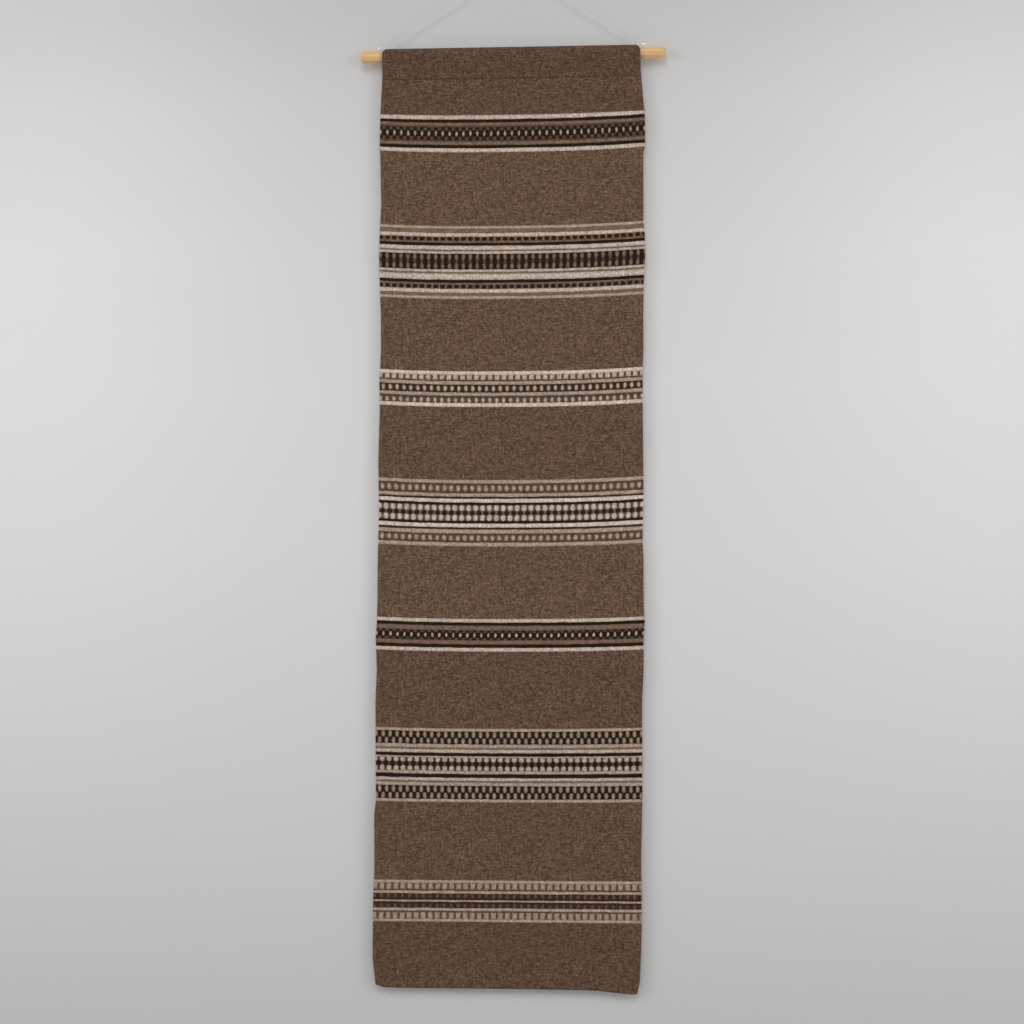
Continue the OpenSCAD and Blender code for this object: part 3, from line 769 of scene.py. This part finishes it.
minus = add(stitching, "ShaderNodeMath", {0: half.outputs[0], 1: -1.0}, operation="MULTIPLY")
arch = add(stitching, "ShaderNodeMath", {0: given.outputs["Thread thickness"], 1: -1.2},
    operation="MULTIPLY")
dip = add(stitching, "ShaderNodeMath", {0: given.outputs["Thread thickness"], 1: 0.45},
    operation="MULTIPLY")
start = add(stitching, "ShaderNodeCombineXYZ", {"X": minus.outputs[0], "Y": dip.outputs[0]})
crown = add(stitching, "ShaderNodeCombineXYZ", {"Y": arch.outputs[0]})
end = add(stitching, "ShaderNodeCombineXYZ", {"X": half.outputs[0], "Y": dip.outputs[0]})
bend = add(stitching, "GeometryNodeCurveQuadraticBezier", {"Resolution": 8,
    "Start": start.outputs[0], "Middle": crown.outputs[0], "End": end.outputs[0]})
radius = add(stitching, "ShaderNodeMath", {0: given.outputs["Thread thickness"], 1: 0.5},
    operation="MULTIPLY")
section = add(stitching, "GeometryNodeCurvePrimitiveCircle", {"Resolution": 8,
    "Radius": radius.outputs[0]})
one = add(stitching, "GeometryNodeCurveToMesh", {"Curve": bend.outputs[0],
    "Profile Curve": section.outputs[0], "Fill Caps": True})
back_sway = add(stitching, "ShaderNodeMath", {0: given.outputs["Unevenness"], 1: -1.0},
    operation="MULTIPLY")
least = add(stitching, "ShaderNodeCombineXYZ", {"Y": back_sway.outputs[0]})
most = add(stitching, "ShaderNodeCombineXYZ", {"Y": given.outputs["Unevenness"]})
uneven = add(stitching, "FunctionNodeRandomValue", {"Min": least.outputs[0],
    "Max": most.outputs[0], "Seed": 5}, data_type="FLOAT_VECTOR")
rows_of = add(stitching, "GeometryNodeInstanceOnPoints", {"Points": points.outputs[0],
    "Instance": one.outputs[0], "Rotation": uneven.outputs[0]})
solid = add(stitching, "GeometryNodeRealizeInstances", {"Geometry": rows_of.outputs[0]})
dressed = add(stitching, "GeometryNodeSetMaterial", {"Geometry": solid.outputs[0],
    "Material": thread})
stitching.links.new(dressed.outputs[0], result.inputs[0])


def sew(name, count, pitch, first_u, level, y, outward):
    """A row of running stitches on the hung cloth, laid on its face at y."""
    holder = bpy.data.objects.new(name, bpy.data.meshes.new(name))
    scene.collection.objects.link(holder)
    maker = holder.modifiers.new("stitches", "NODES")
    maker.node_group = stitching
    for key, value in (("count", count), ("pitch", pitch), ("length", 0.005),
        ("thick", 0.0008), ("sway", 0.06)):
        maker[inputs[key]] = value
    mesh = bpy.data.meshes.new_from_object(
        holder.evaluated_get(bpy.context.evaluated_depsgraph_get()))
    holder.modifiers.clear()
    co = np.zeros(len(mesh.vertices) * 3, np.float32)
    mesh.vertices.foreach_get("co", co)
    co = co.reshape(-1, 3)
    x, z = cloth_point(first_u + co[:, 0], np.full(len(co), level))
    co = np.stack([x, y + outward * co[:, 1] * -1, z + co[:, 2] * (-outward)], 1)
    mesh.vertices.foreach_set("co", co.astype(np.float32).ravel())
    mesh.shade_smooth()
    mesh.name = name
    holder.data = mesh
    return holder


seam_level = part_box("sleeve_stitches")[0].z + 0.0004
front_row = sew("sleeve_stitches_front", 30, 0.012, 0.018, seam_level, -cloth_half - 0.0001, -1)
back_row = sew("sleeve_stitches_back", 29, 0.012, 0.024, seam_level, 3 * cloth_half + 0.0001, 1)
hem_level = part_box("hem_stitches")[0].z + 0.0004
hem_row = sew("hem_stitches_back", 30, 0.012, 0.018, hem_level,
    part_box("hem_fold")[1].y + 0.0002, 1)
for row, body, node in ((front_row, "cloth_1", "sleeve_stitches"),
    (back_row, "cloth_1", "sleeve_stitches"), (hem_row, "cloth_7", "hem_stitches")):
    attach(row, body)
    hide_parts(node)


# ---- Wall, floor and light ----------------------------------------------------------------
# Not part of the hanging: a matt pale wall just behind it, its colour graded with painted light
# and shade, a pale floor below, and soft studio light from both sides, from high in front and
# from behind.
wall_with_painted_shading, tree, skin = new_material("matt_wall_with_painted_shading")
where = add(tree, "ShaderNodeTexCoord").outputs["Object"]
drop = add(tree, "ShaderNodeSeparateXYZ", {0: where})
fade = add(tree, "ShaderNodeMapRange", {"Value": drop.outputs["Z"], "From Min": -1.7,
    "From Max": 0.1})
# Painted light and shade: the wall is brightest a little below the hanging's middle and painted
# darker towards the top and the bottom
paint = add(tree, "ShaderNodeValToRGB", {"Fac": fade.outputs["Result"]})
stops = paint.color_ramp.elements
stops[0].position, stops[0].color = 0.1, from_hex("#C0C0C0")
stops[1].position, stops[1].color = 0.91, from_hex("#C1C1C1")
for position, code in ((0.23, "#CACACA"), (0.35, "#D0D0D0"), (0.47, "#D5D5D5"),
    (0.6, "#D6D6D6"), (0.71, "#D3D3D3"), (0.83, "#CBCBCB")):
    stops.new(position).color = from_hex(code)
# Painted light: lighter towards the sides, more so higher up
aside = add(tree, "ShaderNodeMath", {0: drop.outputs["X"]}, operation="ABSOLUTE")
to_side = add(tree, "ShaderNodeMapRange", {"Value": aside.outputs[0], "From Min": 0.2,
    "From Max": 0.7}, interpolation_type="SMOOTHSTEP")
to_top = add(tree, "ShaderNodeMapRange", {"Value": drop.outputs["Z"], "From Min": -1.3,
    "From Max": -0.4, "To Max": 0.15})
lift = add(tree, "ShaderNodeMath", {0: to_side.outputs["Result"], 1: to_top.outputs["Result"],
    2: 1.0}, operation="MULTIPLY_ADD")
brighter = add(tree, "ShaderNodeVectorMath", {0: paint.outputs["Color"], 1: lift.outputs[0]},
    operation="MULTIPLY")
tree.links.new(brighter.outputs[0], skin.inputs["Base Color"])
skin.inputs["Roughness"].default_value = 0.9
skin.inputs["Specular IOR Level"].default_value = 0.1
clear = add(tree, "ShaderNodeBsdfTransparent")
# Seen from behind it is clear, and it lets light through to the back of the cloth
facing = add(tree, "ShaderNodeNewGeometry")
ray = add(tree, "ShaderNodeLightPath")
let_through = add(tree, "ShaderNodeMath", {0: facing.outputs["Backfacing"],
    1: ray.outputs["Is Shadow Ray"]}, operation="MAXIMUM")
choice = add(tree, "ShaderNodeMixShader", {0: let_through.outputs[0],
    1: skin.outputs[0], 2: clear.outputs[0]})
tree.links.new(choice.outputs[0], tree.nodes["Material Output"].inputs["Surface"])
wall_mesh = bpy.data.meshes.new("wall")
wall_mesh.from_pydata([(-2, 0.0135, -1.8), (2, 0.0135, -1.8), (2, 0.0135, 0.7),
    (-2, 0.0135, 0.7)], [], [(0, 1, 2, 3)])
wall_mesh.materials.append(wall_with_painted_shading)
wall = bpy.data.objects.new("wall", wall_mesh)
floor_paint, tree, skin = new_material("pale_floor_paint")
skin.inputs["Base Color"].default_value = from_hex("#D8D8D7")
skin.inputs["Roughness"].default_value = 0.85
floor_mesh = bpy.data.meshes.new("floor")
floor_mesh.from_pydata([(-2, -3, -1.8), (2, -3, -1.8), (2, 1.5, -1.8), (-2, 1.5, -1.8)], [],
    [(0, 1, 2, 3)])
floor_mesh.materials.append(floor_paint)
floor = bpy.data.objects.new("floor", floor_mesh)
scene.collection.objects.link(wall)
scene.collection.objects.link(floor)

for name, place, size, power in (
    ("soft_left", (-2.6, -2.1, -0.1), 1.6, 24),
    ("soft_right", (2.6, -2.1, -0.1), 1.6, 24),
    ("soft_top", (0.0, -4.5, 2.6), 2.6, 92),
    ("soft_back", (0.4, 2.6, -0.2), 1.6, 60),
):
    light = bpy.data.lights.new(name, "AREA")
    light.size = size
    light.energy = power
    lamp = bpy.data.objects.new(name, light)
    scene.collection.objects.link(lamp)
    lamp.visible_camera = False
    lamp.location = place
    towards = (-place[0], -place[1], -0.75 - place[2])
    flat = math.hypot(towards[0], towards[1])
    lamp.rotation_euler = (math.pi / 2 + math.atan2(towards[2], flat), 0,
        math.atan2(towards[1], towards[0]) - math.pi / 2)
world = bpy.data.worlds.new("studio")
scene.world = world
world.use_nodes = True
world.node_tree.nodes["Background"].inputs["Color"].default_value = from_hex("#E6E6E6")
world.node_tree.nodes["Background"].inputs["Strength"].default_value = 0.5
